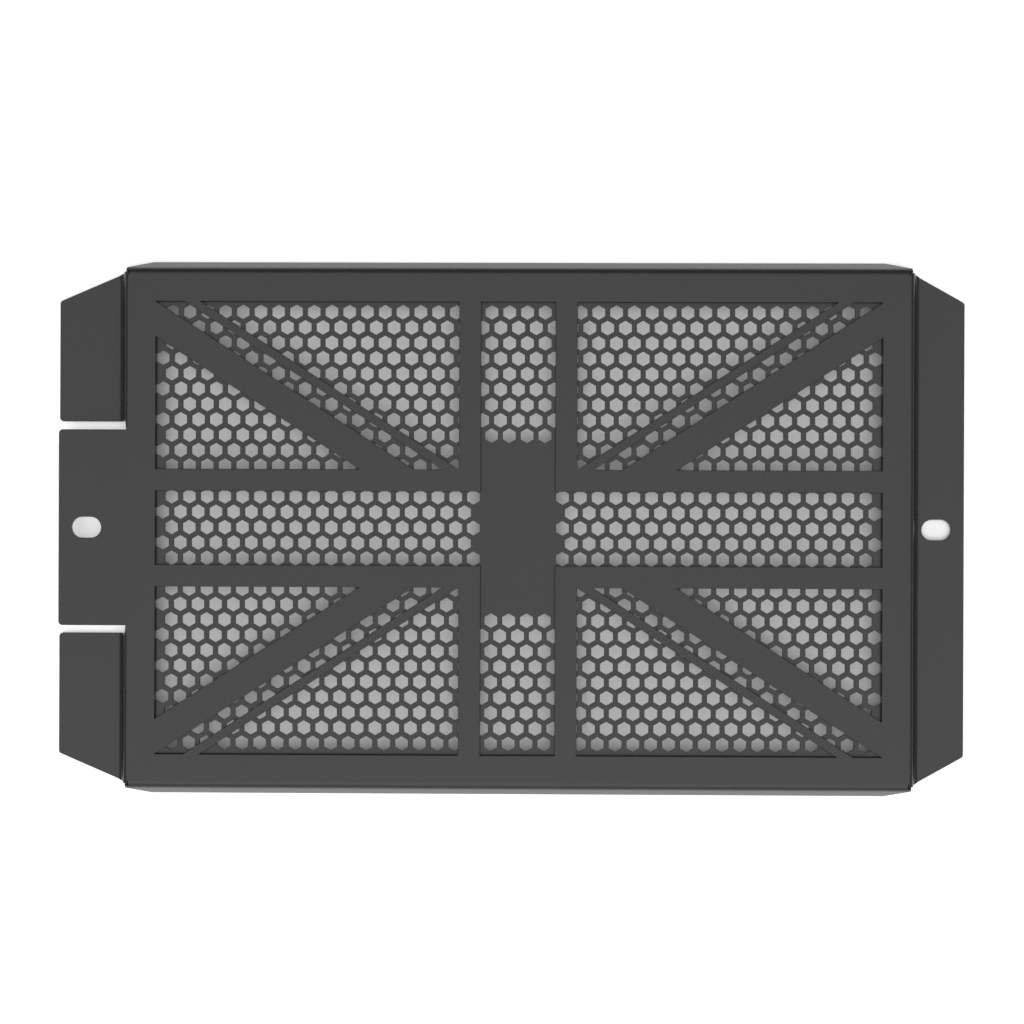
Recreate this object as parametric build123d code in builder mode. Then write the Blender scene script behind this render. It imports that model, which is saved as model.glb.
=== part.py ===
from build123d import *
import math
import os

# Radiator guard, lying on its back with the face up, in millimetres.
# X runs across the guard, Y up its height and Z out of the face. The origin is under the middle of its box.

# Folded sheet of the frame
SHEET = 1.5  # thickness of the steel
GUARD_DEPTH = 7.5  # from the back of the flanges to the front of the face

# Field of windows in the face
FIELD_WIDTH = 244.3
FIELD_HEIGHT = 152.5
BORDER = 9.05  # plain band of the face round the field
CROSS_POST = 25.0  # width of the cross's upright window
CROSS_BEAM = 24.9  # height of the cross's level window
CROSS_BAR = 7.4  # bars that line the cross
STRIPE = 5.2  # narrow diagonal window in each quarter
STRIPE_BAR = 3.0  # thin diagonal bar above the stripe
SALTIRE_BAR = 10.0  # wide diagonal bar below the stripe

# Lips along the top and bottom edges
LIP_FOLD = 64.0  # degrees that a lip is folded back
LIP_RADIUS = 1.5  # inside radius of its fold
LIP_END_ANGLE = 36.0  # slope of a lip's ends in its own plane, in degrees
LIP_OVERHANG = 1.1  # a lip stands this far past the face at each end

# Side flange, tabs and slits
WEB_FOLD = 77.0  # degrees of both folds of a joggle
BEND_RADIUS = 0.5  # inside radius of its upper fold
TOE_RADIUS = 2.5  # inside radius of its lower fold
FLANGE_REACH = 19.95  # right flange, from the face's edge to its own
SIDE_TAB_REACH = 25.05  # upper and lower left tabs
MIDDLE_TAB_REACH = 23.55  # flat tab in the middle of the left side
MIDDLE_TAB_HEIGHT = 66.0
SLIT = 3.0  # gap between the left tabs
SLIT_STOP = 0.9  # from the face's edge to the inner end of a slit
FLANGE_RISE = 1.0  # a joggle stands this far above and below the face, beside the lip's fold
CORNER_RELIEF = 0.3  # gap between a joggle and the lip beside it
TAPER_START = 3.2  # from the face's edge to the start of a flange's sloped end
END_TAPER = 9.4  # drop of that sloped end
CORNER_RADIUS = 1.3

# Bolt slots
SLOT_WIDTH = 7.0
SLOT_LENGTH = 10.0
SLOT_EDGE = 9.35  # from the middle of a slot to the outer edge of its tab

# Punched sheet behind the face
MESH_SHEET = 1.0
MESH_INSET = 4.0  # from the face's edge to the edge of the punched sheet
HOLE_FLATS = 4.3  # hexagonal hole, across its flats
HOLE_WEB = 1.7  # metal left between two holes
HOLE_SCALE = 1.65  # holes and webs are drawn this much larger than they are, so that they stay few
BLANK_WIDTH = 27.0  # middle of the sheet that is left unpunched
BLANK_HEIGHT = 55.0

# Sizes that follow from those above
FACE_WIDTH = FIELD_WIDTH + 2 * BORDER
FACE_HEIGHT = FIELD_HEIGHT + 2 * BORDER
LIP_WIDTH = FACE_WIDTH + 2 * LIP_OVERHANG
FLANGE_TOP = FACE_HEIGHT / 2 + FLANGE_RISE
RELIEF_HEIGHT = FLANGE_RISE + CORNER_RELIEF
FACE_CENTER_X = (SIDE_TAB_REACH - FLANGE_REACH) / 2
FACE_BACK = GUARD_DEPTH - SHEET
FACE_MID = GUARD_DEPTH - SHEET / 2
UPPER_FOLD_RADIUS = BEND_RADIUS + SHEET / 2
TOE_FOLD_RADIUS = TOE_RADIUS + SHEET / 2
LIP_FOLD_RADIUS = LIP_RADIUS + SHEET / 2

QUARTER_WIDTH = (FIELD_WIDTH - CROSS_POST) / 2 - CROSS_BAR
QUARTER_HEIGHT = (FIELD_HEIGHT - CROSS_BEAM) / 2 - CROSS_BAR
QUARTER_DIAGONAL = math.hypot(QUARTER_WIDTH, QUARTER_HEIGHT)

# The stripe starts in the field's corner, and the thin bar above it ends in the quarter's inner corner
SALTIRE_ANGLE = math.degrees(
    math.atan2(QUARTER_HEIGHT, QUARTER_WIDTH) + math.asin((STRIPE + STRIPE_BAR) / QUARTER_DIAGONAL)
)

# A joggle drops from the face to the back of the guard over its two folds and a straight web
WEB_SINE = math.sin(math.radians(WEB_FOLD))
WEB_COSINE = math.cos(math.radians(WEB_FOLD))
BOTH_RADII = UPPER_FOLD_RADIUS + TOE_FOLD_RADIUS
WEB_LENGTH = (GUARD_DEPTH - SHEET - BOTH_RADII * (1 - WEB_COSINE)) / WEB_SINE

# A lip ends with its back edge level with the back of the guard
LIP_SINE = math.sin(math.radians(LIP_FOLD))
LIP_COSINE = math.cos(math.radians(LIP_FOLD))
LIP_ROOT_Y = FACE_HEIGHT / 2 + LIP_FOLD_RADIUS * LIP_SINE
LIP_ROOT_Z = FACE_MID - LIP_FOLD_RADIUS * (1 - LIP_COSINE)
LIP_LENGTH = (LIP_ROOT_Z - LIP_COSINE * SHEET / 2) / LIP_SINE

DRAWN_FLATS = HOLE_SCALE * HOLE_FLATS
HOLE_PITCH = HOLE_SCALE * (HOLE_FLATS + HOLE_WEB)
ROW_PITCH = HOLE_PITCH * math.sqrt(3) / 2
HALF_COLUMNS = round(FIELD_WIDTH / 2 / HOLE_PITCH)
HALF_ROWS = round(FIELD_HEIGHT / 2 / (2 * ROW_PITCH))

# Planes through the middle of the face: seen from the front, cut across and cut lengthwise
BACK_PLANE = Plane((FACE_CENTER_X, 0, 0))
FACE_PLANE = Plane((FACE_CENTER_X, 0, FACE_BACK))
MESH_PLANE = Plane((FACE_CENTER_X, 0, FACE_BACK - MESH_SHEET))
CROSSWAYS_PLANE = Plane((FACE_CENTER_X, 0, 0), x_dir=(1, 0, 0), z_dir=(0, -1, 0))
LENGTHWISE_PLANE = Plane((FACE_CENTER_X, 0, 0), x_dir=(0, 1, 0), z_dir=(1, 0, 0))
LIP_PLANE = Plane((FACE_CENTER_X, LIP_ROOT_Y, LIP_ROOT_Z), x_dir=(1, 0, 0), z_dir=(0, LIP_SINE, LIP_COSINE))

os.makedirs("parts", exist_ok=True)


# Windows of the face: a quarter with its two diagonal bars, its mirror images, and the cross
with BuildSketch() as windows:
    with Locations((-FIELD_WIDTH / 2, FIELD_HEIGHT / 2)):
        Rectangle(QUARTER_WIDTH, QUARTER_HEIGHT, align=(Align.MIN, Align.MAX))
    with Locations(Location((-FIELD_WIDTH / 2, FIELD_HEIGHT / 2), -SALTIRE_ANGLE)):
        Rectangle(3 * QUARTER_DIAGONAL, SALTIRE_BAR, align=(Align.CENTER, Align.MAX), mode=Mode.SUBTRACT)
        with Locations((0, STRIPE)):
            Rectangle(3 * QUARTER_DIAGONAL, STRIPE_BAR, align=(Align.CENTER, Align.MIN), mode=Mode.SUBTRACT)
    mirror(about=Plane.YZ)
    mirror(about=Plane.XZ)
    Rectangle(CROSS_POST, FIELD_HEIGHT)
    Rectangle(FIELD_WIDTH, CROSS_BEAM)

# Flat of the face with the coplanar middle tab
with BuildSketch() as face_blank:
    with Locations((-FACE_WIDTH / 2, 0)):
        Rectangle(MIDDLE_TAB_REACH, MIDDLE_TAB_HEIGHT, align=(Align.MAX, Align.CENTER))
    fillet(face_blank.vertices().group_by(Axis.X)[0], CORNER_RADIUS)
    with Locations((-FACE_WIDTH / 2, 0)):
        Rectangle(SLIT_STOP, MIDDLE_TAB_HEIGHT + 2 * SLIT, align=(Align.MAX, Align.CENTER))
    Rectangle(FACE_WIDTH, FACE_HEIGHT)
    with Locations((-FACE_WIDTH / 2 - MIDDLE_TAB_REACH + SLOT_EDGE, 0)):
        SlotOverall(SLOT_LENGTH, SLOT_WIDTH, mode=Mode.SUBTRACT)
    add(windows.sketch, mode=Mode.SUBTRACT)

# Right flange: a joggled strip a little taller than the face, trimmed to its sloped ends
with BuildPart() as right_flange:
    with BuildSketch(CROSSWAYS_PLANE):
        with BuildLine():
            upper_fold = JernArc((FACE_WIDTH / 2, FACE_MID), (1, 0), UPPER_FOLD_RADIUS, -WEB_FOLD)
            web = PolarLine(upper_fold @ 1, WEB_LENGTH, direction=upper_fold % 1)
            lower_fold = JernArc(web @ 1, web % 1, TOE_FOLD_RADIUS, WEB_FOLD)
            Line(lower_fold @ 1, (FACE_WIDTH / 2 + FLANGE_REACH, SHEET / 2))
        trace(line_width=SHEET)
    extrude(amount=FLANGE_TOP, both=True)
    with BuildSketch(BACK_PLANE) as flange_outline:
        with BuildLine():
            Polyline(
                (FACE_WIDTH / 2, 0),
                (FACE_WIDTH / 2, FLANGE_TOP),
                (FACE_WIDTH / 2 + TAPER_START, FLANGE_TOP),
                (FACE_WIDTH / 2 + FLANGE_REACH, FLANGE_TOP - END_TAPER),
                (FACE_WIDTH / 2 + FLANGE_REACH, 0),
            )
            mirror(about=Plane.XZ)
        make_face()
        fillet(flange_outline.vertices().group_by(Axis.X)[-1], CORNER_RADIUS)
        with Locations((FACE_WIDTH / 2 + FLANGE_REACH - SLOT_EDGE, 0)):
            SlotOverall(SLOT_LENGTH, SLOT_WIDTH, mode=Mode.SUBTRACT)
    extrude(amount=GUARD_DEPTH, mode=Mode.INTERSECT)

# Upper and lower left tabs: the same joggle, trimmed to a slope at the far end and a slit at the near one
with BuildPart() as side_tabs:
    with BuildSketch(CROSSWAYS_PLANE):
        with BuildLine():
            upper_fold = JernArc((-FACE_WIDTH / 2, FACE_MID), (-1, 0), UPPER_FOLD_RADIUS, WEB_FOLD)
            web = PolarLine(upper_fold @ 1, WEB_LENGTH, direction=upper_fold % 1)
            lower_fold = JernArc(web @ 1, web % 1, TOE_FOLD_RADIUS, -WEB_FOLD)
            Line(lower_fold @ 1, (-FACE_WIDTH / 2 - SIDE_TAB_REACH, SHEET / 2))
        trace(line_width=SHEET)
    extrude(amount=FLANGE_TOP, both=True)
    with BuildSketch(BACK_PLANE) as tab_outline:
        with BuildLine():
            Polyline(
                (-FACE_WIDTH / 2, MIDDLE_TAB_HEIGHT / 2 + SLIT),
                (-FACE_WIDTH / 2, FLANGE_TOP),
                (-FACE_WIDTH / 2 - TAPER_START, FLANGE_TOP),
                (-FACE_WIDTH / 2 - SIDE_TAB_REACH, FLANGE_TOP - END_TAPER),
                (-FACE_WIDTH / 2 - SIDE_TAB_REACH, MIDDLE_TAB_HEIGHT / 2 + SLIT),
                close=True,
            )
        make_face()
        fillet(tab_outline.vertices().group_by(Axis.X)[0], CORNER_RADIUS)
        mirror(about=Plane.XZ)
    extrude(amount=GUARD_DEPTH, mode=Mode.INTERSECT)

# Lips: a fold along the face's edge and a flat strip with sloped ends, above and below, clear of the joggles
with BuildPart() as lips:
    with BuildSketch(LENGTHWISE_PLANE):
        with BuildLine():
            JernArc((FACE_HEIGHT / 2, FACE_MID), (1, 0), LIP_FOLD_RADIUS, -LIP_FOLD)
        trace(line_width=SHEET)
    extrude(amount=LIP_WIDTH / 2, both=True)
    with BuildSketch(LIP_PLANE):
        Trapezoid(LIP_WIDTH, LIP_LENGTH, LIP_END_ANGLE, align=(Align.CENTER, Align.MIN))
    extrude(amount=SHEET / 2, both=True)
    mirror(about=Plane.XZ)
    with BuildSketch(BACK_PLANE):
        with GridLocations(FACE_WIDTH + LIP_OVERHANG, FACE_HEIGHT + RELIEF_HEIGHT, 2, 2):
            Rectangle(LIP_OVERHANG, RELIEF_HEIGHT)
    extrude(amount=GUARD_DEPTH, mode=Mode.SUBTRACT)

# The frame: one cut and folded sheet
with BuildPart() as guard_frame:
    with BuildSketch(FACE_PLANE):
        add(face_blank.sketch)
    extrude(amount=SHEET)
    add(lips.part)
    add(right_flange.part)
    add(side_tabs.part)

guard_frame.part.label = "guard_frame"
export_step(guard_frame.part, "parts/guard_frame.step")


# Staggered rows of holes over the whole field: those in line with the middle row, and those between them
middle_rows = GridLocations(HOLE_PITCH, 2 * ROW_PITCH, 2 * HALF_COLUMNS, 2 * HALF_ROWS + 1)
between_rows = GridLocations(HOLE_PITCH, 2 * ROW_PITCH, 2 * HALF_COLUMNS + 1, 2 * HALF_ROWS)


def is_punched(place):
    """Whether a good part of a hole shows in a window, outside the blank middle."""
    center = place.position
    in_blank = abs(center.X) < BLANK_WIDTH / 2 and abs(center.Y) < BLANK_HEIGHT / 2
    return not in_blank and windows.sketch.distance_to(center) < DRAWN_FLATS / 3


punched = [place for place in [*middle_rows, *between_rows] if is_punched(place)]

# Mesh: a flat sheet against the back of the face, punched where the windows show it
with BuildPart() as hex_mesh:
    with BuildSketch(MESH_PLANE):
        Rectangle(FACE_WIDTH - 2 * MESH_INSET, FACE_HEIGHT - 2 * MESH_INSET)
        with Locations(*punched):
            RegularPolygon(DRAWN_FLATS / 2, 6, major_radius=False, rotation=30, mode=Mode.SUBTRACT)
    extrude(amount=MESH_SHEET, clean=False)

hex_mesh.part.label = "hex_mesh"
export_step(hex_mesh.part, "parts/hex_mesh.step")
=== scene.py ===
"""Motorcycle radiator guard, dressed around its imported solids.

The guard is two sheets of powder-coated steel: a cut and folded frame, and behind it a flat sheet that is
punched with hexagonal holes. Both are worked out flat, in millimetres, with rounded cut edges. The frame is
then folded. Flat places are measured from the middle of the field of windows: x across the guard, y up its
height, and the height through the sheet from its middle.
"""

import logging
import math
from dataclasses import dataclass, field
from enum import Enum

import bpy
import numpy as np
from mathutils.geometry import delaunay_2d_cdt
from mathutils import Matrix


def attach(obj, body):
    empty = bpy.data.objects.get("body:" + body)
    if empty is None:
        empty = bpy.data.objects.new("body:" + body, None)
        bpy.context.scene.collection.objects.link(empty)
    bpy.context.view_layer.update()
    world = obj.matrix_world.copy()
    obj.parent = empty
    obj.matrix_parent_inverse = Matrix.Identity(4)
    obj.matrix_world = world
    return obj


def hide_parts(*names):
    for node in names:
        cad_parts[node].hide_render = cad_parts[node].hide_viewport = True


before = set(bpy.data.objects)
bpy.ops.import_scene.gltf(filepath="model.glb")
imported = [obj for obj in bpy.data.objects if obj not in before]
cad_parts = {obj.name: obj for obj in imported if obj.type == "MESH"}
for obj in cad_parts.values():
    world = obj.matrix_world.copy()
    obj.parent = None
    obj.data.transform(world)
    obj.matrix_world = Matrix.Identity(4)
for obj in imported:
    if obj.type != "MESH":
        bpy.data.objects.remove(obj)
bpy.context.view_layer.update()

# A flat place, as x and y
Place = tuple[float, float] | np.ndarray

LOG = logging.getLogger("radiator_guard")
MM = 0.001
BODY = "root"
# Middle of the field of windows, right of the guard's own middle, in millimetres
FIELD_X = 2.55
# Two sides of a loop that turn by less than this are shaded as one curve
SMOOTH_BEND = math.cos(math.radians(25))
# The triangle fill keeps what lies inside the loops, and takes places nearer than this as one
FILL_INSIDE = 1
FILL_SAME_PLACE = 1e-7
# A Mix node's colour sockets go by number, because its other sockets have the same names
MIX_FROM = 6
MIX_TO = 7
MIX_COLOUR = 2


class Node(Enum):
    """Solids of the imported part."""

    FRAME = "guard_frame"
    MESH = "hex_mesh"


class Slot(Enum):
    """Names of the guard's two finishes."""

    FRAME = "frame_powder_coat"
    MESH = "mesh_powder_coat"


# Shapes: cut edges, sheets and folds


@dataclass(frozen=True)
class CutEdge:
    """Section of a sheet's cut edge, rounded at the front and at the back."""

    sheet: float
    radius: float
    steps: int

    def section(self) -> tuple[np.ndarray, np.ndarray, np.ndarray]:
        """Points of the section from the front of the sheet to its back.

        A quarter circle from the flat of the sheet to its wall, and the same quarter circle turned over.

        Returns:
            How far each point lies inside the cut, its height, and the slope of its normal from upright.
        """
        quarter = np.linspace(0, math.pi / 2, self.steps + 1)
        inset = self.radius * (1 - np.sin(quarter))
        height = self.sheet / 2 - self.radius * (1 - np.cos(quarter))
        slopes = np.concatenate([quarter, math.pi - quarter[::-1]])
        return np.concatenate([inset, inset[::-1]]), np.concatenate([height, -height[::-1]]), slopes


@dataclass
class Surface:
    """A mesh as arrays: points, four-sided and three-sided faces, and a normal for each face corner."""

    points: np.ndarray
    quads: np.ndarray
    triangles: np.ndarray
    quad_normals: np.ndarray
    triangle_normals: np.ndarray

    def to_object(self, name: str) -> bpy.types.Object:
        """Puts the arrays into a new object at the origin.

        Args:
            name: Name of the piece.

        Returns:
            The object, with its place in its mesh.
        """
        corners = np.concatenate([self.quads.ravel(), self.triangles.ravel()])
        quad_starts = np.arange(len(self.quads)) * 4
        triangle_starts = np.arange(len(self.triangles)) * 3 + self.quads.size
        starts = np.concatenate([quad_starts, triangle_starts])
        mesh = bpy.data.meshes.new(name)
        mesh.vertices.add(len(self.points))
        mesh.vertices.foreach_set("co", (self.points * MM).astype(np.float32).ravel())
        mesh.loops.add(len(corners))
        mesh.loops.foreach_set("vertex_index", corners.astype(np.int32))
        mesh.polygons.add(len(starts))
        mesh.polygons.foreach_set("loop_start", starts.astype(np.int32))
        mesh.update(calc_edges=True)
        mesh.shade_smooth()
        normals = np.concatenate([self.quad_normals.reshape(-1, 3), self.triangle_normals.reshape(-1, 3)])
        mesh.normals_split_custom_set(normals.tolist())
        piece = bpy.data.objects.new(name, mesh)
        bpy.context.scene.collection.objects.link(piece)
        return piece


def turn_loops(loops: np.ndarray, hole: bool) -> np.ndarray:
    """Turns closed loops so that the metal is on the left of their direction.

    The area of a loop is half the sum of the cross products of its following corners. It is positive for an
    outline and negative for a hole, and a loop that goes the other way is reversed.

    Args:
        loops: Corners of the loops, as (loop, corner, xy).
        hole: Whether the loops bound holes.

    Returns:
        The loops, turned.
    """
    after = np.roll(loops, -1, axis=1)
    areas = np.sum(loops[..., 0] * after[..., 1] - loops[..., 1] * after[..., 0], axis=1)
    wrong = (areas > 0) if hole else (areas < 0)
    return np.where(wrong[:, None, None], loops[:, ::-1], loops)


def round_corner(before: Place, corner: Place, after: Place, radius: float, steps: int = 6) -> np.ndarray:
    """Arc that rounds a corner of an outline.

    The centre lies on the corner's bisector, at the radius over the sine of half the angle. The arc swings
    about it from the one touching point to the other.

    Args:
        before: A place on the side that comes to the corner.
        corner: The corner.
        after: A place on the side that leaves it.
        radius: Radius of the arc.
        steps: Straight steps along the arc.

    Returns:
        Places along the arc.
    """
    tip = np.asarray(corner, float)
    sides = np.array([np.asarray(before, float) - tip, np.asarray(after, float) - tip])
    sides /= np.linalg.norm(sides, axis=1, keepdims=True)
    half = math.acos(float(sides[0] @ sides[1])) / 2
    bisector = sides.sum(axis=0) / np.linalg.norm(sides.sum(axis=0))
    centre = tip + bisector * radius / math.sin(half)
    first, last = tip + sides * radius / math.tan(half) - centre
    swing = math.pi - 2 * half
    share = np.linspace(0, 1, steps + 1)[:, None]
    return centre + (np.sin((1 - share) * swing) * first + np.sin(share * swing) * last) / math.sin(swing)


def obround(centre: tuple[float, float], length: float, width: float, steps: int = 14) -> np.ndarray:
    """Loop of a slot with round ends.

    Half circles of half the width about the middles of the two ends.

    Args:
        centre: Middle of the slot.
        length: Length over both ends.
        width: Width of the slot.
        steps: Straight steps along each end.

    Returns:
        The loop, as one loop of a group.
    """
    sweep = np.linspace(-math.pi / 2, math.pi / 2, steps + 1)
    end = np.stack([np.cos(sweep), np.sin(sweep)], axis=1) * width / 2
    shift = np.array([(length - width) / 2, 0])
    return (np.concatenate([end + shift, -end - shift]) + centre)[None]


def carry_edge(edge: CutEdge, loops: np.ndarray) -> tuple[np.ndarray, np.ndarray, np.ndarray]:
    """Carries the section of a cut edge along closed loops.

    A section point that lies a distance inside the cut moves each corner along its mitre, which is the sum
    of the two sides' normals over one plus their product. The normal of a face corner leans from upright by
    the section's slope. It turns smoothly round an arc and breaks at a sharp corner.

    Args:
        edge: Section of the cut edges.
        loops: Loops of equal corner counts, as (loop, corner, xy), with the metal on the left.

    Returns:
        Points as (loop, section point, corner, xyz), faces as numbers of those points, and normals of the
        faces' corners.
    """
    insets, heights, slopes = (part[:, None, None] for part in edge.section())
    along = np.roll(loops, -1, axis=1) - loops
    along /= np.linalg.norm(along, axis=2, keepdims=True)
    normal = np.stack([-along[..., 1], along[..., 0]], axis=2)
    before = np.roll(normal, 1, axis=1)
    bend = np.sum(normal * before, axis=2, keepdims=True)
    mitre = (normal + before) / (1 + bend)
    flat = loops[:, None] + insets * mitre[:, None]
    level = np.broadcast_to(heights, (*flat.shape[:3], 1))

    index = np.arange(level.size).reshape(level.shape[:3])
    after = np.roll(index, -1, axis=2)
    quads = np.stack([index[:, 1:], after[:, 1:], after[:, :-1], index[:, :-1]], axis=3)

    shared = mitre / np.linalg.norm(mitre, axis=2, keepdims=True)
    at_first = np.where(bend > SMOOTH_BEND, shared, normal)
    at_second = np.where(np.roll(bend, -1, axis=1) > SMOOTH_BEND, np.roll(shared, -1, axis=1), normal)
    upper, lower = slopes[:-1], slopes[1:]
    sides = ((at_first, lower), (at_second, lower), (at_second, upper), (at_first, upper))
    leaning = [-side[:, None] * np.sin(slope) for side, slope in sides]
    upright = [np.broadcast_to(np.cos(slope), (*quads.shape[:3], 1)) for _, slope in sides]
    normals = np.concatenate([np.stack(leaning, axis=3), np.stack(upright, axis=3)], axis=4)
    return np.concatenate([flat, level], axis=3), quads.reshape(-1, 4), normals.reshape(-1, 4, 3)


def fill_metal(places: np.ndarray, rows: np.ndarray, loops: list[list[int]]) -> np.ndarray:
    """Fills a flat sheet between its outline and its holes with Delaunay triangles.

    A triangle is metal where no loop but the outline holds it. One whose area comes out negative is turned
    round.

    Args:
        places: Corners of the loops, and places inside the metal.
        rows: Pairs of places that a straight row of the mesh joins.
        loops: Numbers of the corners of each loop, anticlockwise.

    Returns:
        Numbers of the corners of each triangle, anticlockwise.
    """
    filled = delaunay_2d_cdt(places.tolist(), rows.tolist(), loops, FILL_INSIDE, FILL_SAME_PLACE)
    _, _, cells, origins, _, owners = filled
    in_metal = np.fromiter(map(len, owners), int) == 1
    corners = np.fromiter(map(min, origins), int)[np.array(cells)[in_metal]]
    first, second, third = (places[corners[:, turn]] for turn in range(3))
    area = np.cross(second - first, third - first)
    return np.where(area[:, None] > 0, corners, corners[:, ::-1])


def punch_sheet(edge: CutEdge, groups: list[np.ndarray], creases: np.ndarray, inner: np.ndarray) -> Surface:
    """A flat sheet cut to an outline, with its holes.

    The edge's section is carried along every loop. The front and the back are filled between the loops with
    the same triangles, turned over for the back.

    Args:
        edge: Section of the cut edges.
        groups: Loops of equal corner counts, as (loop, corner, xy), with the metal on the left. The first
            group is the outline.
        creases: Pairs of outline corners or inner places that a straight row of the mesh joins, for the
            folds.
        inner: Places inside the metal at which such rows end, counted on from the outline's corners.

    Returns:
        The sheet, with its points as x, y and height.
    """
    points, quads, quad_normals, rims, loops = [], [], [], [], []
    start = 0
    rim_start = 0
    for group in groups:
        strip, strip_quads, strip_normals = carry_edge(edge, group)
        index = start + np.arange(strip[..., 0].size).reshape(strip.shape[:3])
        rim_index = rim_start + np.arange(group[..., 0].size).reshape(group.shape[:2])
        points.append(strip.reshape(-1, 3))
        quads.append(start + strip_quads)
        quad_normals.append(strip_normals)
        rims.append((strip[:, 0, :, :2].reshape(-1, 2), index[:, 0].ravel(), index[:, -1].ravel()))
        loops += (rim_index[:, ::-1] if rim_start else rim_index).tolist()
        start += index.size
        rim_start += rim_index.size

    level = np.repeat([[edge.sheet / 2], [-edge.sheet / 2]], len(inner), axis=0)
    points.append(np.concatenate([np.tile(inner, (2, 1)), level], axis=1))
    rims.append((inner, *(start + np.arange(2 * len(inner)).reshape(2, -1))))
    rim, front, back = (np.concatenate(parts) for parts in zip(*rims))
    outline_corners = groups[0].shape[1]
    rows = np.where(creases < outline_corners, creases, creases - outline_corners + rim_start)
    cells = fill_metal(rim, rows, loops)
    triangles = np.concatenate([front[cells], back[cells[:, ::-1]]])
    upright = np.zeros((*triangles.shape, 3))
    upright[..., 2] = np.repeat([1.0, -1.0], len(cells))[:, None]
    return Surface(
        np.concatenate(points), np.concatenate(quads), triangles, np.concatenate(quad_normals), upright
    )


@dataclass(frozen=True)
class Fold:
    """Section of a folded strip: stretches of the sheet, each with its length and the angle it turns."""

    stretches: tuple[tuple[float, float], ...]

    def marks(self, steps: int = 6) -> np.ndarray:
        """Distances along the strip at which the mesh needs a row.

        Args:
            steps: Rows along each bend.

        Returns:
            The distances, from the start of the first bend to the end of the last one.
        """
        places = [np.zeros(1)]
        for length, turn in self.stretches:
            places.append(places[-1][-1] + np.linspace(0, length, steps + 1 if turn else 2)[1:])
        return np.concatenate(places)

    def follow(self, distance: np.ndarray) -> tuple[np.ndarray, np.ndarray, np.ndarray]:
        """Where places along the strip come to lie.

        The slope grows evenly along a bend. The run and the drop are the sums of the slope's cosine and
        sine over the distance, which are arcs in the bends and straight lines between and beyond them.

        Args:
            distance: Distances along the flat strip from the start of the first bend.

        Returns:
            Run, drop and slope at each distance.
        """
        run, drop, slope = (np.zeros_like(distance) for _ in range(3))
        left = distance.copy()
        for length, turn in (*self.stretches, (math.inf, 0.0)):
            step = np.clip(left, 0, length)
            if turn:
                curve = turn / length
                bent = slope + curve * step
                run += (np.sin(bent) - np.sin(slope)) / curve
                drop += (np.cos(slope) - np.cos(bent)) / curve
                slope = bent
            else:
                run += step * np.cos(slope)
                drop += step * np.sin(slope)
            left = left - step
        return run, drop, slope


# Finishes


def linear(hex_colour: str) -> tuple[float, float, float, float]:
    """Linear colour of an sRGB hex value, by the standard curve.

    Args:
        hex_colour: Colour such as "#303030".

    Returns:
        Red, green, blue and full alpha.
    """
    parts = np.array([int(hex_colour[place : place + 2], 16) for place in (1, 3, 5)]) / 255
    parts = np.where(parts <= 0.04045, parts / 12.92, ((parts + 0.055) / 1.055) ** 2.4)
    return (*(float(part) for part in parts), 1.0)


def add_node(
    tree: bpy.types.NodeTree,
    kind: str,
    settings: dict[str | int, object],
    links: dict[str | int, bpy.types.NodeSocket],
) -> bpy.types.Node:
    """Adds a node with its settings and links.

    Args:
        tree: Tree that takes the node.
        kind: Blender's name for the kind of node.
        settings: Values of the node's own settings by name, and of its input sockets by name or number.
        links: Output sockets by the name or number of the input socket that they feed.

    Returns:
        The node.
    """
    node = tree.nodes.new(kind)
    for name, value in settings.items():
        if isinstance(name, int) or name in node.inputs:
            node.inputs[name].default_value = value
        else:
            setattr(node, name, value)
    for name, output in links.items():
        tree.links.new(output, node.inputs[name])
    return node


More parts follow.
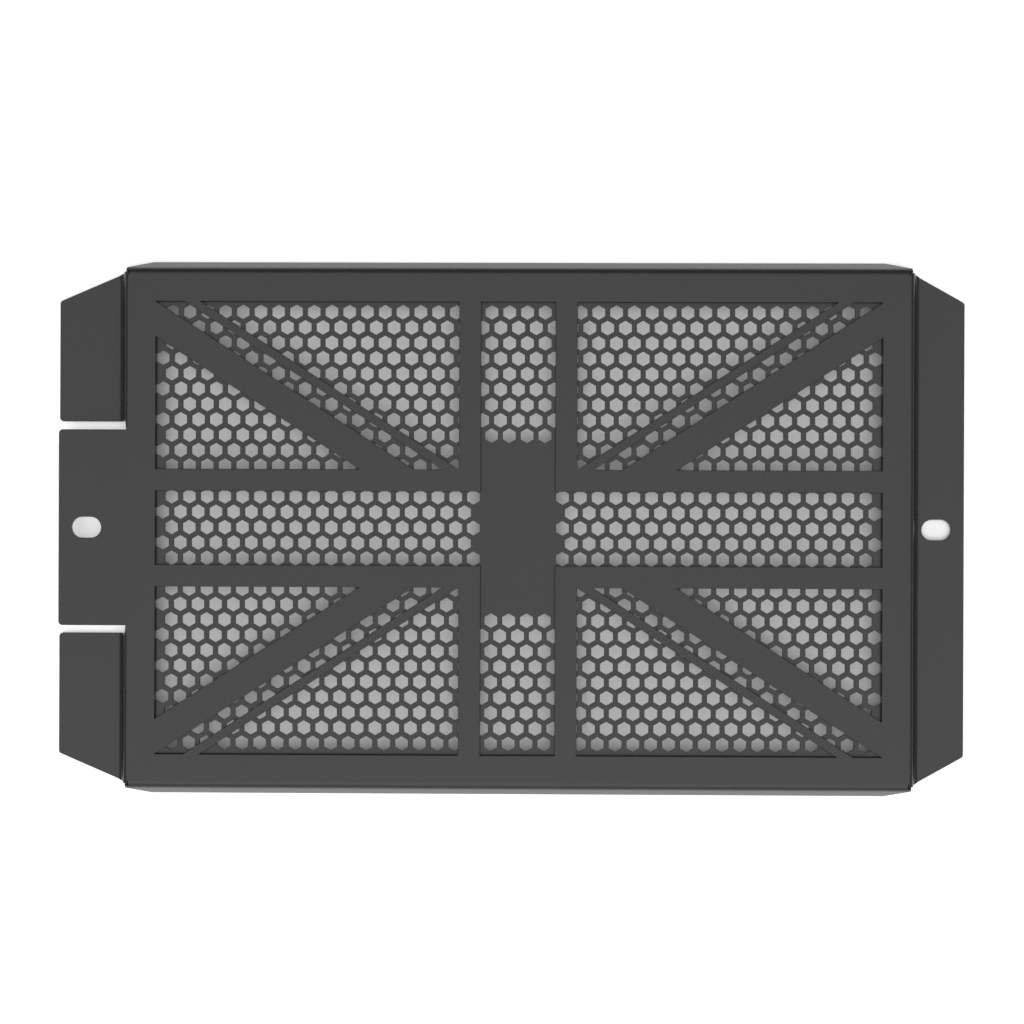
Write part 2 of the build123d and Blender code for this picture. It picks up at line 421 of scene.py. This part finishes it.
@dataclass(frozen=True)
class PowderCoat:
    """Satin black polyester powder coat, sprayed dry and baked on steel.

    The powder melts to a film that pulls up into a faint orange peel, a couple of millimetres across, with
    a finer grain on it. It has no metal flake. It rounds the edges and gives a broad, soft sheen. The sizes
    and depths of the patterns are in millimetres. The grain is drawn about twice as coarse as the real one,
    which is too fine to show in the render.
    """

    name: str
    roughness: float
    roughness_spread: float = 0.05
    spread_noise: tuple[float, float] = (0.3, 0.7)
    colour: str = "#202020"
    dark_colour: str = "#1d1d1d"
    ior: float = 1.47
    peel: float = 2.2
    peel_detail: float = 1.0
    peel_depth: float = 0.010
    grain: float = 0.55
    grain_detail: float = 2.0
    grain_depth: float = 0.006
    cloud: float = 24.0
    cloud_detail: float = 3.0

    def material(self) -> bpy.types.Material:
        """Makes the coat as a material.

        Returns:
            The material, with its patterns on object coordinates.
        """
        coat = bpy.data.materials.new(self.name)
        coat.use_nodes = True
        tree = coat.node_tree
        tree.nodes.clear()
        place = add_node(tree, "ShaderNodeTexCoord", {}, {}).outputs["Object"]
        sizes = (self.peel, self.grain, self.cloud)
        details = (self.peel_detail, self.grain_detail, self.cloud_detail)
        peel, grain, cloud = (
            add_node(
                tree,
                "ShaderNodeTexNoise",
                {"Scale": 1 / (size * MM), "Detail": detail},
                {"Vector": place},
            ).outputs["Fac"]
            for size, detail in zip(sizes, details)
        )
        tint = add_node(
            tree,
            "ShaderNodeMix",
            {"data_type": "RGBA", MIX_FROM: linear(self.dark_colour), MIX_TO: linear(self.colour)},
            {"Factor": cloud},
        )
        gloss = add_node(
            tree,
            "ShaderNodeMapRange",
            {
                "From Min": self.spread_noise[0],
                "From Max": self.spread_noise[1],
                "To Min": self.roughness - self.roughness_spread,
                "To Max": self.roughness + self.roughness_spread,
            },
            {"Value": grain},
        )
        waves = add_node(tree, "ShaderNodeBump", {"Distance": self.peel_depth * MM}, {"Height": peel})
        relief = add_node(
            tree,
            "ShaderNodeBump",
            {"Distance": self.grain_depth * MM},
            {"Height": grain, "Normal": waves.outputs["Normal"]},
        )
        shader = add_node(
            tree,
            "ShaderNodeBsdfPrincipled",
            {"IOR": self.ior},
            {
                "Base Color": tint.outputs[MIX_COLOUR],
                "Roughness": gloss.outputs["Result"],
                "Normal": relief.outputs["Normal"],
            },
        )
        add_node(tree, "ShaderNodeOutputMaterial", {}, {"Surface": shader.outputs["BSDF"]})
        return coat


# Pieces


def set_piece(piece: bpy.types.Object, node: Node, coat: PowderCoat) -> None:
    """Dresses a piece, rides it on the guard's body and lets it stand for its solid.

    Args:
        piece: The piece.
        node: Solid that it stands for.
        coat: Finish that it shows.
    """
    piece.data.materials.append(coat.material())
    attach(piece, BODY)
    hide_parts(node.value)


@dataclass
class GuardFrame:
    """The cut and folded frame: a face with its field of windows, two lips, three tabs and a flange.

    Lengths are in millimetres and angles in radians. The last fields follow from the others.
    """

    centre_x: float = FIELD_X
    depth: float = 7.5
    sheet: float = 1.5
    field_width: float = 244.3
    field_height: float = 152.5
    border: float = 9.05
    cross_post: float = 25.0
    cross_beam: float = 24.9
    cross_bar: float = 7.4
    stripe: float = 5.2
    stripe_bar: float = 3.0
    saltire_bar: float = 10.0
    lip_fold: float = math.radians(64)
    lip_radius: float = 1.5
    lip_end: float = math.radians(36)
    lip_overhang: float = 1.1
    web_fold: float = math.radians(77)
    bend_radius: float = 0.5
    toe_radius: float = 2.5
    flange_reach: float = 19.95
    side_tab_reach: float = 25.05
    middle_tab_reach: float = 23.55
    middle_tab_height: float = 66.0
    slit: float = 3.0
    slit_stop: float = 0.9
    flange_rise: float = 1.0
    corner_relief: float = 0.3
    corner_slit: float = 0.1
    taper_start: float = 3.2
    end_taper: float = 9.4
    corner_radius: float = 1.3
    slot_width: float = 7.0
    slot_length: float = 10.0
    slot_edge: float = 9.35
    edge_radius: float = 0.22
    edge_steps: int = 3
    half_width: float = field(init=False)
    half_height: float = field(init=False)
    flange_top: float = field(init=False)
    relief_top: float = field(init=False)
    slit_end: float = field(init=False)
    joggle: Fold = field(init=False)
    joggle_length: float = field(init=False)
    joggle_run: float = field(init=False)
    lip: Fold = field(init=False)
    lip_length: float = field(init=False)

    def __post_init__(self) -> None:
        """Works out the folds and the half sizes of the face."""
        upper, toe, lip = (
            inside + self.sheet / 2 for inside in (self.bend_radius, self.toe_radius, self.lip_radius)
        )
        self.half_width = self.field_width / 2 + self.border
        self.half_height = self.field_height / 2 + self.border
        self.flange_top = self.half_height + self.flange_rise
        self.relief_top = self.flange_top + self.corner_relief
        self.slit_end = self.middle_tab_height / 2 + self.slit
        bends = (upper + toe) * (1 - math.cos(self.web_fold))
        web = (self.depth - self.sheet - bends) / math.sin(self.web_fold)
        turn = self.web_fold
        self.joggle = Fold(((upper * turn, turn), (web, 0.0), (toe * turn, -turn)))
        self.joggle_length = (upper + toe) * turn + web
        self.joggle_run = (upper + toe) * math.sin(turn) + web * math.cos(turn)
        self.lip = Fold(((lip * self.lip_fold, self.lip_fold),))
        root = self.depth - self.sheet / 2 - lip * (1 - math.cos(self.lip_fold))
        self.lip_length = (root - math.cos(self.lip_fold) * self.sheet / 2) / math.sin(self.lip_fold)

    def flat_reach(self, reach: float) -> float:
        """Length in the flat of a joggled strip that reaches so far from the face once it is folded."""
        return reach - self.joggle_run + self.joggle_length

    def joggle_top(self, reach: float) -> np.ndarray:
        """Corners of a joggle's upper end in the flat, one on each of its rows.

        Seen from the front, the end is level as far as the start of the taper and then falls evenly.

        Args:
            reach: How far the strip reaches from the face.

        Returns:
            Distance from the face's edge and height of each corner, from that edge outwards.
        """
        marks = self.joggle.marks()
        fall = self.end_taper / (reach - self.taper_start)
        run = self.joggle.follow(marks)[0]
        return np.stack([marks, self.flange_top - fall * np.clip(run - self.taper_start, 0, None)], axis=1)

    def lip_side(self) -> tuple[np.ndarray, np.ndarray]:
        """Corners beside the lip's fold on the right, from the top of the joggle to the end of the fold.

        They go down and up a slit between the joggle and the face, out over the corner relief and up the
        end of the lip.

        Returns:
            The corners, and the numbers of those on the rows of the fold.
        """
        half_slit = self.corner_slit / 2
        rows = self.half_height + self.lip.marks()
        low, high = rows[rows < self.relief_top], rows[rows > self.relief_top]
        inside, outside = self.half_width - half_slit, self.half_width + self.lip_overhang
        heights = [self.flange_top, self.half_height, *low, self.relief_top, self.relief_top, *high]
        sides = [self.half_width + half_slit] * 2 + [inside] * (len(low) + 1) + [outside] * (len(high) + 1)
        on_row = [False] * 2 + [True] * len(low) + [False] * 2 + [True] * len(high)
        return np.stack([sides, heights], axis=1), np.flatnonzero(on_row)

    def outline(self) -> tuple[np.ndarray, np.ndarray, np.ndarray]:
        """Outline of the flat sheet, with a corner at each row of every bend.

        The upper half runs from the right flange over the lip to the left tabs, and the lower half is its
        mirror image.

        Returns:
            The loop, the pairs of places that the rows of the bends join, and the places inside the metal
            among them.
        """
        wide = self.half_width
        flange = wide + self.flat_reach(self.flange_reach)
        tab = -wide - self.flat_reach(self.side_tab_reach)
        middle = -wide - self.middle_tab_reach
        slope_end = self.flange_top - self.end_taper
        slit_low = self.slit_end - self.slit
        lip_top = self.half_height + self.lip.marks()[-1] + self.lip_length
        lip_corner = wide + self.lip_overhang - self.lip_length / math.tan(self.lip_end)
        flange_end = self.joggle_top(self.flange_reach)[:0:-1] + [wide, 0]
        tab_end = self.joggle_top(self.side_tab_reach)[1:] * [-1, 1] - [wide, 0]
        lip_side, on_row = self.lip_side()
        marks = self.joggle.marks()
        past_stop = marks > self.slit_stop
        slit_marks = np.append(marks[past_stop][::-1], self.slit_stop)
        slit_side = np.stack([-wide - slit_marks, np.full_like(slit_marks, self.slit_end)], axis=1)
        radius = self.corner_radius
        runs = {
            "flange corner": round_corner((flange, 0), (flange, slope_end), flange_end[0], radius),
            "flange end": flange_end,
            "lip's right side": lip_side,
            "lip's edge": np.array([[lip_corner, lip_top], [-lip_corner, lip_top]]),
            "lip's left side": lip_side[::-1] * [-1, 1],
            "tab end": tab_end,
            "tab's upper corner": round_corner(tab_end[-1], (tab, slope_end), (tab, self.slit_end), radius),
            "tab's lower corner": round_corner((tab, slope_end), (tab, self.slit_end), slit_side[0], radius),
            "slit": slit_side,
            "slit's inner end": np.array([[-wide - self.slit_stop, slit_low]]),
            "middle tab's corner": round_corner((-wide, slit_low), (middle, slit_low), (middle, 0), radius),
        }
        upper = np.concatenate(list(runs.values()))
        loop = np.concatenate([upper, upper[::-1] * [1, -1]])

        # Rows that meet no cut edge end inside the metal: the first of a joggle, and some beside a slit
        short = -wide - marks[~past_stop]
        clear = 2 * self.edge_radius
        fold_ends = np.array([[1, 1], [1, -1], [-1, 1], [-1, -1]]) * [wide, self.half_height - clear]
        heights = (self.slit_end + clear, -self.slit_end - clear, slit_low - clear, clear - slit_low)
        beside_slits = np.stack([np.tile(short, len(heights)), np.repeat(heights, len(short))], axis=1)

        starts = dict(zip(runs, np.cumsum([0, *(len(run) for run in runs.values())])))
        last = len(loop) - 1
        joggle_rows = np.arange(len(marks) - 1)
        right, left = starts["flange end"] + joggle_rows, starts["tab end"] + joggle_rows
        right_top, right_low, left_top, left_low = len(loop) + np.arange(len(fold_ends))
        past_low = starts["slit"] + np.arange(past_stop.sum())[::-1]
        short_low = len(loop) + len(fold_ends) + np.arange(len(short))
        lip_right, lip_left = starts["lip's right side"] + on_row, starts["tab end"] - 1 - on_row
        pairs = [
            (np.append(right, right_top), np.append(last - right, right_low)),
            (np.append(left_top, left), np.append(short_low, past_low)),
            (np.append(left_low, last - left), np.append(short_low + len(short), last - past_low)),
            (lip_right, lip_left),
            (last - lip_right, last - lip_left),
        ]
        rows = np.concatenate([np.stack(pair, axis=1) for pair in pairs])
        return loop[None], rows, np.concatenate([fold_ends, beside_slits])

    def windows(self) -> list[np.ndarray]:
        """Windows of the face, as groups of loops with equal corner counts.

        In a quarter, straight lines at the saltire's angle cut off a triangle above the thin bar, a stripe
        between the two bars and a triangle below the wide one. The other quarters are mirror images.

        Returns:
            The cross, the two triangles of each quarter and the stripes.
        """
        wide, high = self.field_width / 2, self.field_height / 2
        post, beam = self.cross_post / 2, self.cross_beam / 2
        across, down = wide - post - self.cross_bar, high - beam - self.cross_bar
        over = self.stripe + self.stripe_bar
        angle = math.atan2(down, across) + math.asin(over / math.hypot(across, down))
        sine, cosine, tangent = math.sin(angle), math.cos(angle), math.tan(angle)
        foot = down / tangent
        upper = [[over / sine, 0], [across, 0], [across, down]]
        stripe = [[0, 0], [self.stripe / sine, 0], [foot + self.stripe / sine, down], [foot, down]]
        lower = [[0, self.saltire_bar / cosine], [foot - self.saltire_bar / sine, down], [0, down]]
        signs = np.array([[-1, 1], [1, 1], [1, -1], [-1, -1]])[:, None]
        corner = np.array([wide, high])

        def in_quarters(shapes: list[list[list[float]]]) -> np.ndarray:
            """Mirror images of shapes that are measured from the field's corner inwards."""
            return np.concatenate([(corner - np.array(shape)) * signs for shape in shapes])

        arm = np.array([[wide, beam], [post, beam], [post, high]])
        cross = np.concatenate([arm, arm[::-1] * [-1, 1], -arm, arm[::-1] * [1, -1]])[None]
        groups = [cross, in_quarters([upper, lower]), in_quarters([stripe])]
        return [turn_loops(group, hole=True) for group in groups]

    def slots(self) -> np.ndarray:
        """Bolt slots of the middle tab and the right flange.

        Returns:
            Their loops in the flat.
        """
        tab_x = -self.half_width - self.middle_tab_reach + self.slot_edge
        flange_x = self.half_width + self.flat_reach(self.flange_reach) - self.slot_edge
        size = (self.slot_length, self.slot_width)
        both = np.concatenate([obround((tab_x, 0), *size), obround((flange_x, 0), *size)])
        return turn_loops(both, hole=True)

    def folded(self, flat: Surface) -> Surface:
        """Folds the flat sheet.

        Beyond the face's edge a place follows its fold's run and drop. The height through the sheet is laid
        off along the fold's normal. Right of the face and outside the slits on the left the fold is the
        joggle, above and below the face it is the lip. The corner relief parts the two.

        Args:
            flat: The flat sheet.

        Returns:
            The folded sheet, in the guard's own place.
        """
        x, y, height = flat.points.T
        on_lip = np.abs(y) > self.relief_top - self.corner_relief / 2
        joggled = ((x > 0) | (np.abs(y) > self.slit_end - self.slit / 2)) & ~on_lip
        lipped = (np.abs(x) < self.half_width) | on_lip
        beyond_x = np.where(joggled, np.clip(np.abs(x) - self.half_width, 0, None), 0)
        beyond_y = np.where(lipped, np.clip(np.abs(y) - self.half_height, 0, None), 0)
        run_x, drop_x, slope_x = self.joggle.follow(beyond_x)
        run_y, drop_y, slope_y = self.lip.follow(beyond_y)
        slope_x, slope_y = slope_x * np.sign(x), slope_y * np.sign(y)
        sin_x, cos_x, sin_y, cos_y = np.sin(slope_x), np.cos(slope_x), np.sin(slope_y), np.cos(slope_y)
        still = np.zeros_like(x)
        along = np.stack([cos_x, still, -sin_x], axis=1)
        up = np.stack([still, cos_y, -sin_y], axis=1)
        out = np.stack([sin_x * cos_y, sin_y * cos_x, cos_x * cos_y], axis=1)
        middle = np.stack(
            [
                self.centre_x + x + np.sign(x) * (run_x - beyond_x),
                y + np.sign(y) * (run_y - beyond_y),
                self.depth - self.sheet / 2 - drop_x - drop_y,
            ],
            axis=1,
        )
        axes = np.stack([along, up, out], axis=1)
        return Surface(
            middle + out * height[:, None],
            flat.quads,
            flat.triangles,
            np.einsum("fca,fcab->fcb", flat.quad_normals, axes[flat.quads]),
            np.einsum("fca,fcab->fcb", flat.triangle_normals, axes[flat.triangles]),
        )

    def build(self, coat: PowderCoat) -> bpy.types.Object:
        """Cuts, folds and coats the frame.

        Args:
            coat: Its finish.

        Returns:
            The frame.
        """
        edge = CutEdge(self.sheet, self.edge_radius, self.edge_steps)
        outline, creases, inner = self.outline()
        flat = punch_sheet(edge, [outline, *self.windows(), self.slots()], creases, inner)
        piece = self.folded(flat).to_object("folded_frame")
        set_piece(piece, Node.FRAME, coat)
        return piece


@dataclass
class HexSheet:
    """The flat sheet behind the windows, punched with staggered hexagons around a plain middle.

    Lengths are in millimetres.
    """

    centre_x: float = FIELD_X
    front: float = 6.0
    sheet: float = 1.0
    width: float = 254.4
    height: float = 162.6
    hole_flats: float = 4.3
    hole_pitch: float = 6.0
    hole_rise: float = 0.17
    half_columns: int = 20
    half_rows: int = 14
    blank_width: float = 27.0
    blank_height: float = 55.0
    edge_radius: float = 0.12
    edge_steps: int = 1

    def hole_centres(self) -> np.ndarray:
        """Middles of the holes.

        Rows lie the root of three quarters of the pitch apart. Every other row has one hole more and stands
        half a pitch to the side. Holes in the plain middle are left out.

        Returns:
            Places of the middles.
        """
        rows = np.arange(-self.half_rows, self.half_rows + 1)
        columns = np.arange(-2 * self.half_columns, 2 * self.half_columns + 1)
        column, row = (grid.ravel() for grid in np.meshgrid(columns, rows))
        staggered = (column + row) % 2 == 1
        centres = np.stack([column / 2, row * math.sqrt(0.75)], axis=1) * self.hole_pitch
        blank = (np.abs(centres) < np.array([self.blank_width, self.blank_height]) / 2).all(axis=1)
        return centres[staggered & ~blank]

    def build(self, coat: PowderCoat) -> bpy.types.Object:
        """Punches and coats the sheet.

        Args:
            coat: Its finish.

        Returns:
            The sheet.
        """
        turns = np.radians(30 + 60 * np.arange(6))
        hexagon = np.stack([np.cos(turns), np.sin(turns)], axis=1) * self.hole_flats / math.sqrt(3)
        holes = turn_loops(self.hole_centres()[:, None] + hexagon + [0, self.hole_rise], hole=True)
        corner = np.array([self.width, self.height]) / 2
        outline = turn_loops((corner * [[1, 1], [-1, 1], [-1, -1], [1, -1]])[None], hole=False)
        edge = CutEdge(self.sheet, self.edge_radius, self.edge_steps)
        flat = punch_sheet(edge, [outline, holes], np.zeros((0, 2), int), np.zeros((0, 2)))
        flat.points += [self.centre_x, 0, self.front - self.sheet / 2]
        piece = flat.to_object("hex_sheet")
        set_piece(piece, Node.MESH, coat)
        return piece


# Surroundings


@dataclass
class Studio:
    """Pale floor, soft light and the camera above the guard.

    The lamp and the world together light the white floor to about white. Lengths are in metres, the lens
    and its sensor in millimetres, and the camera's turns in degrees.
    """

    floor_side: float = 30.0
    floor_level: float = -0.0002
    floor_colour: str = "#f8f8f8"
    floor_lift: float = 0.34
    covered_share: float = 0.08
    covered_x: tuple[float, float] = (-0.1245, 0.1515)
    covered_y: tuple[float, float] = (-0.0775, 0.0775)
    key_strength: float = 1.62
    key_elevation: float = math.radians(80)
    key_spread: float = math.radians(86)
    dome_level: float = 1.08
    dome_lean: float = math.radians(47.6)
    dome_fade: float = 3.6
    wall_level: float = 0.1
    wall_height: float = 0.14
    room_level: float = 0.34
    camera_place: tuple[float, float, float] = (0.00538, 0.00592, 0.5061)
    camera_turn: tuple[float, float, float] = (-0.031, 0.5534, 0.2047)
    focal_length: float = 52.2
    sensor: float = 36.0
    near_clip: float = 0.01

    def build(self) -> None:
        """Sets up the floor, the light and the camera."""
        self.floor()
        self.sky()
        self.key_light()
        self.camera()

    def floor(self) -> None:
        """Lays the floor, and gives each face its share of the lift.

        A flat grid over the two level directions. Its middle cell, which lies under the windows and the
        flange, gets little of the lift, a painted glow that lightens the shade under the guard a little. The
        others get all of it, which pales the guard's cast shadow around its outline.
        """
        reach = self.floor_side / 2
        across, along = ([-reach, *span, reach] for span in (self.covered_x, self.covered_y))
        x, y = (grid.ravel() for grid in np.meshgrid(across, along))
        points = np.stack([x, y, np.full_like(x, self.floor_level)], axis=1)
        index = np.arange(len(points)).reshape(len(along), len(across))
        cells = np.stack([index[:-1, :-1], index[:-1, 1:], index[1:, 1:], index[1:, :-1]], axis=2)
        mesh = bpy.data.meshes.new("floor")
        mesh.from_pydata(points.tolist(), [], cells.reshape(-1, 4).tolist())
        # Painted light: the glow at full strength pales the guard's cast shadow, and a small share lightens
        # the shade under it
        share = np.ones(cells.shape[:2])
        share[1, 1] = self.covered_share
        mesh.attributes.new("lift", "FLOAT", "FACE").data.foreach_set("value", share.ravel())
        mesh.materials.append(self.board())
        floor = bpy.data.objects.new("floor", mesh)
        bpy.context.scene.collection.objects.link(floor)

    def board(self) -> bpy.types.Material:
        """Matt white paint of the floor.

        It scatters light evenly, so it shows soft shadows. The lift is a faint glow that only the camera
        and reflections see, painted light from a floor that is no lamp. It makes the open floor clean white
        and pales the guard's cast shadow around its outline, in the slits and in the left slot. The floor
        under the guard gets only a small share of it, which lightens the shade seen through the holes a
        little.

        Returns:
            The material.
        """
        board = bpy.data.materials.new("matt_white_board_and_painted_glow")
        board.use_nodes = True
        tree = board.node_tree
        tree.nodes.clear()
        path = add_node(tree, "ShaderNodeLightPath", {}, {}).outputs
        seen = path["Is Camera Ray"]
        for ray in ("Is Glossy Ray", "Is Transmission Ray"):
            either = add_node(tree, "ShaderNodeMath", {"operation": "MAXIMUM"}, {0: seen, 1: path[ray]})
            seen = either.outputs[0]
        # Each floor face's share of the painted glow: small under the guard, full where its cast shadow
        # falls around it
        share = add_node(tree, "ShaderNodeAttribute", {"attribute_name": "lift"}, {}).outputs["Fac"]
        shown = add_node(tree, "ShaderNodeMath", {"operation": "MULTIPLY"}, {0: seen, 1: share})
        full = {"operation": "MULTIPLY", 1: self.floor_lift}
        lift = add_node(tree, "ShaderNodeMath", full, {0: shown.outputs[0]})
        paint = add_node(tree, "ShaderNodeBsdfDiffuse", {"Color": linear(self.floor_colour)}, {})
        glow = add_node(tree, "ShaderNodeEmission", {}, {"Strength": lift.outputs[0]})
        both = add_node(tree, "ShaderNodeAddShader", {}, {0: paint.outputs[0], 1: glow.outputs[0]})
        add_node(tree, "ShaderNodeOutputMaterial", {}, {"Surface": both.outputs[0]})
        return board

    def sky(self) -> None:
        """Lights the studio all round.

        A broad soft light leans from overhead towards the lower edge of the picture, and fades from its
        middle by a power of the cosine. Round it lies a dim room, with paler walls just above the floor.
        """
        world = bpy.data.worlds.new("studio")
        world.use_nodes = True
        tree = world.node_tree
        tree.nodes.clear()
        place = add_node(tree, "ShaderNodeTexCoord", {}, {}).outputs["Generated"]
        middle = (0.0, -math.sin(self.dome_lean), math.cos(self.dome_lean))
        facing = add_node(tree, "ShaderNodeVectorMath", {"operation": "DOT_PRODUCT", 1: middle}, {0: place})
        cosine = facing.outputs["Value"]
        above = add_node(tree, "ShaderNodeMath", {"operation": "MAXIMUM", 1: 0.0}, {0: cosine})
        power = {"operation": "POWER", 1: self.dome_fade}
        faded = add_node(tree, "ShaderNodeMath", power, {0: above.outputs[0]})
        split = add_node(tree, "ShaderNodeSeparateXYZ", {}, {"Vector": place})
        room = add_node(
            tree,
            "ShaderNodeMapRange",
            {
                "interpolation_type": "SMOOTHSTEP",
                "From Min": 0.0,
                "From Max": self.wall_height,
                "To Min": self.room_level + self.wall_level,
                "To Max": self.room_level,
            },
            {"Value": split.outputs["Z"]},
        )
        level = add_node(
            tree,
            "ShaderNodeMath",
            {"operation": "MULTIPLY_ADD", 1: self.dome_level},
            {0: faded.outputs[0], 2: room.outputs["Result"]},
        )
        back = add_node(tree, "ShaderNodeBackground", {}, {"Strength": level.outputs[0]})
        add_node(tree, "ShaderNodeOutputWorld", {}, {"Surface": back.outputs["Background"]})
        bpy.context.scene.world = world

    def key_light(self) -> None:
        """Adds the wide soft light overhead, which leans a little towards the lower edge of the picture."""
        lamp = bpy.data.lights.new("key", "SUN")
        lamp.energy = self.key_strength
        lamp.angle = self.key_spread
        light = bpy.data.objects.new("key", lamp)
        light.rotation_euler = (math.pi / 2 - self.key_elevation, 0, 0)
        bpy.context.scene.collection.objects.link(light)

    def camera(self) -> None:
        """Hangs the camera straight above the guard, very slightly turned."""
        lens = bpy.data.cameras.new("camera")
        lens.lens = self.focal_length
        lens.sensor_width = self.sensor
        lens.clip_start = self.near_clip
        camera = bpy.data.objects.new("camera", lens)
        camera.location = self.camera_place
        camera.rotation_euler = tuple(math.radians(turn) for turn in self.camera_turn)
        bpy.context.scene.collection.objects.link(camera)
        bpy.context.scene.camera = camera


def main() -> None:
    """Builds the guard and its surroundings, and reports each piece."""
    logging.basicConfig(level=logging.INFO, format="%(name)s: %(message)s")
    frame_coat = PowderCoat("satin_black_powder_coat_frame", roughness=0.28)
    mesh_coat = PowderCoat("satin_black_powder_coat_mesh", roughness=0.30)
    for piece in (GuardFrame().build(frame_coat), HexSheet().build(mesh_coat)):
        LOG.info("%s: %d faces", piece.name, len(piece.data.polygons))
    Studio().build()
    bpy.context.scene.view_settings.view_transform = "Standard"


if __name__ == "__main__":
    main()
